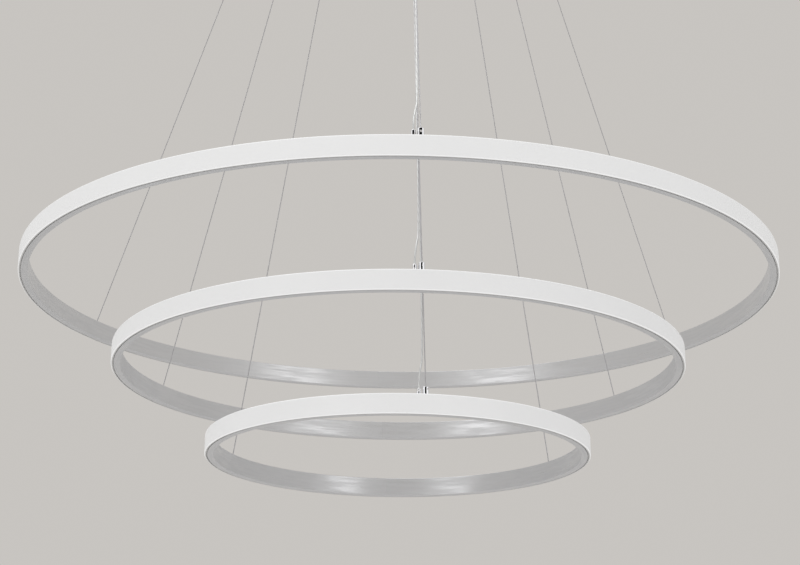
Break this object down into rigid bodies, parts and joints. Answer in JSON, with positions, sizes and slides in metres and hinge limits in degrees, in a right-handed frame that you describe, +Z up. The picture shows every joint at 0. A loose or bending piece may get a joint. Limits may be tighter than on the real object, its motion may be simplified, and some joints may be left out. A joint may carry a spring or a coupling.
{
  "type": "led ring chandelier",
  "caption": "Suspended LED chandelier: three concentric, stepped light rings on steel wires under a round ceiling canopy, each ring height-adjustable.",
  "frame": {"origin": "centre of the ceiling bracket's top face, midway between its two screw slots", "axes": "+Z up into the ceiling; -Y towards the viewer and the front wires; +X to the viewer's right"},
  "size_m": [0.7999, 0.7999, 1.11],
  "materials": {
    "satin_aluminium": "satin silver, finely brushed along the ring",
    "opal_diffuser": "opal, lit evenly from inside",
    "led_strip": "white flexible strip",
    "chrome": "polished",
    "steel_wire": "stranded steel wire",
    "clear_cord": "clear sheath over tinned strands",
    "canopy": "satin silver",
    "zinc_steel": "zinc plated",
    "grommet": "matte",
    "driver_case": "matte",
    "terminal": "matte",
    "brass": "plain"
  },
  "bodies": {
    "canopy": {"canopy_cover": "canopy", "ceiling_bracket": "zinc_steel", "cover_screws": "canopy", "cable_grommet": "grommet", "led_driver": "driver_case", "driver_screws": "zinc_steel", "terminal_block": "terminal", "earth_screw": "brass", "canopy_grippers": "chrome", "gripper_nuts": "zinc_steel", "wire_tails": "steel_wire", "canopy_cord_glands": "chrome", "cord_gland_nuts": "zinc_steel", "cord_tails": "clear_cord", "wire_large_front": "steel_wire", "wire_large_right": "steel_wire", "wire_large_left": "steel_wire", "wire_medium_front": "steel_wire", "wire_medium_right": "steel_wire", "wire_medium_left": "steel_wire", "wire_small_front": "steel_wire", "wire_small_right": "steel_wire", "wire_small_left": "steel_wire", "power_cord_large": "clear_cord", "power_cord_medium": "clear_cord", "power_cord_small": "clear_cord"},
    "ring_large": {"ring_frame_large": "satin_aluminium", "diffuser_large": "opal_diffuser", "led_strip_large": "led_strip", "splice_bar_large": "satin_aluminium", "splice_screws_large": "zinc_steel", "wire_stops_large": "zinc_steel", "ring_gripper_large": "chrome", "ring_cord_gland_large": "chrome"},
    "plunger_large_front": {"release_plunger_large_front": "chrome"},
    "plunger_large_right": {"release_plunger_large_right": "chrome"},
    "plunger_large_left": {"release_plunger_large_left": "chrome"},
    "ring_medium": {"ring_frame_medium": "satin_aluminium", "diffuser_medium": "opal_diffuser", "led_strip_medium": "led_strip", "splice_bar_medium": "satin_aluminium", "splice_screws_medium": "zinc_steel", "wire_stops_medium": "zinc_steel", "ring_gripper_medium": "chrome", "ring_cord_gland_medium": "chrome"},
    "plunger_medium_front": {"release_plunger_medium_front": "chrome"},
    "plunger_medium_right": {"release_plunger_medium_right": "chrome"},
    "plunger_medium_left": {"release_plunger_medium_left": "chrome"},
    "ring_small": {"ring_frame_small": "satin_aluminium", "diffuser_small": "opal_diffuser", "led_strip_small": "led_strip", "splice_bar_small": "satin_aluminium", "splice_screws_small": "zinc_steel", "wire_stops_small": "zinc_steel", "ring_gripper_small": "chrome", "ring_cord_gland_small": "chrome"},
    "plunger_small_front": {"release_plunger_small_front": "chrome"},
    "plunger_small_right": {"release_plunger_small_right": "chrome"},
    "plunger_small_left": {"release_plunger_small_left": "chrome"}
  },
  "joints": [
    {"name": "ring_large_height", "type": "slide", "parent": "canopy", "child": "ring_large", "axis": [0, 0, 1], "range_m": [0, 0.6], "deforming": ["wire_large_front", "wire_large_right", "wire_large_left", "power_cord_large"]},
    {"name": "ring_medium_height", "type": "slide", "parent": "canopy", "child": "ring_medium", "axis": [0, 0, 1], "range_m": [0, 0.28], "deforming": ["wire_medium_front", "wire_medium_right", "wire_medium_left", "power_cord_medium"]},
    {"name": "ring_small_height", "type": "slide", "parent": "canopy", "child": "ring_small", "axis": [0, 0, 1], "range_m": [0, 0.38], "deforming": ["wire_small_front", "wire_small_right", "wire_small_left", "power_cord_small"]},
    {"name": "plunger_large_front_press", "type": "slide", "parent": "canopy", "child": "plunger_large_front", "axis": [0, 0, 1], "range_m": [0, 0.002], "stiffness_N_per_m": 300, "springref_m": -0.003},
    {"name": "plunger_large_right_press", "type": "slide", "parent": "canopy", "child": "plunger_large_right", "axis": [0, 0, 1], "range_m": [0, 0.002], "stiffness_N_per_m": 300, "springref_m": -0.003},
    {"name": "plunger_large_left_press", "type": "slide", "parent": "canopy", "child": "plunger_large_left", "axis": [0, 0, 1], "range_m": [0, 0.002], "stiffness_N_per_m": 300, "springref_m": -0.003},
    {"name": "plunger_medium_front_press", "type": "slide", "parent": "canopy", "child": "plunger_medium_front", "axis": [0, 0, 1], "range_m": [0, 0.002], "stiffness_N_per_m": 300, "springref_m": -0.003},
    {"name": "plunger_medium_right_press", "type": "slide", "parent": "canopy", "child": "plunger_medium_right", "axis": [0, 0, 1], "range_m": [0, 0.002], "stiffness_N_per_m": 300, "springref_m": -0.003},
    {"name": "plunger_medium_left_press", "type": "slide", "parent": "canopy", "child": "plunger_medium_left", "axis": [0, 0, 1], "range_m": [0, 0.002], "stiffness_N_per_m": 300, "springref_m": -0.003},
    {"name": "plunger_small_front_press", "type": "slide", "parent": "canopy", "child": "plunger_small_front", "axis": [0, 0, 1], "range_m": [0, 0.002], "stiffness_N_per_m": 300, "springref_m": -0.003},
    {"name": "plunger_small_right_press", "type": "slide", "parent": "canopy", "child": "plunger_small_right", "axis": [0, 0, 1], "range_m": [0, 0.002], "stiffness_N_per_m": 300, "springref_m": -0.003},
    {"name": "plunger_small_left_press", "type": "slide", "parent": "canopy", "child": "plunger_small_left", "axis": [0, 0, 1], "range_m": [0, 0.002], "stiffness_N_per_m": 300, "springref_m": -0.003}
  ]
}
